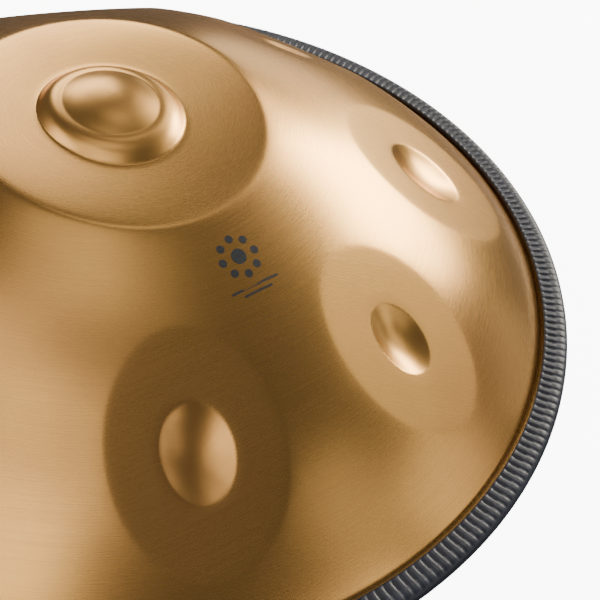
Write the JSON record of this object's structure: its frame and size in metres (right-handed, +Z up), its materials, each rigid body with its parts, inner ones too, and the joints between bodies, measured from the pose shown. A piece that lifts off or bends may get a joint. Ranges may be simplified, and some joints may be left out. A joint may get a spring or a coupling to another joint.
{
  "type": "handpan",
  "caption": "Lens-shaped steel handpan with a domed centre note, a ring of dimpled oval tone fields, a ported lower shell and a ribbed rim trim, played with the hands.",
  "frame": {"origin": "centre of the bounding box's bottom face: on the surface the instrument stands on, below its centre", "axes": "+Z up through the centre note; the port is centred on the Z axis below; the tone fields are laid out about a line 60 degrees clockwise from +X, seen from above"},
  "size_m": [0.53, 0.53, 0.239],
  "materials": {
    "shell_steel": "heat-coloured gold bronze, satin brushed",
    "epoxy": "cured structural adhesive",
    "trim_vinyl": "black ribbed, fine leather grain",
    "trim_spring_steel": "bare stamped strip"
  },
  "bodies": {
    "root": {"upper_shell": "shell_steel", "lower_shell": "shell_steel", "seam_adhesive": "epoxy", "rim_trim_cover": "trim_vinyl", "rim_trim_core": "trim_spring_steel"}
  },
  "joints": []
}
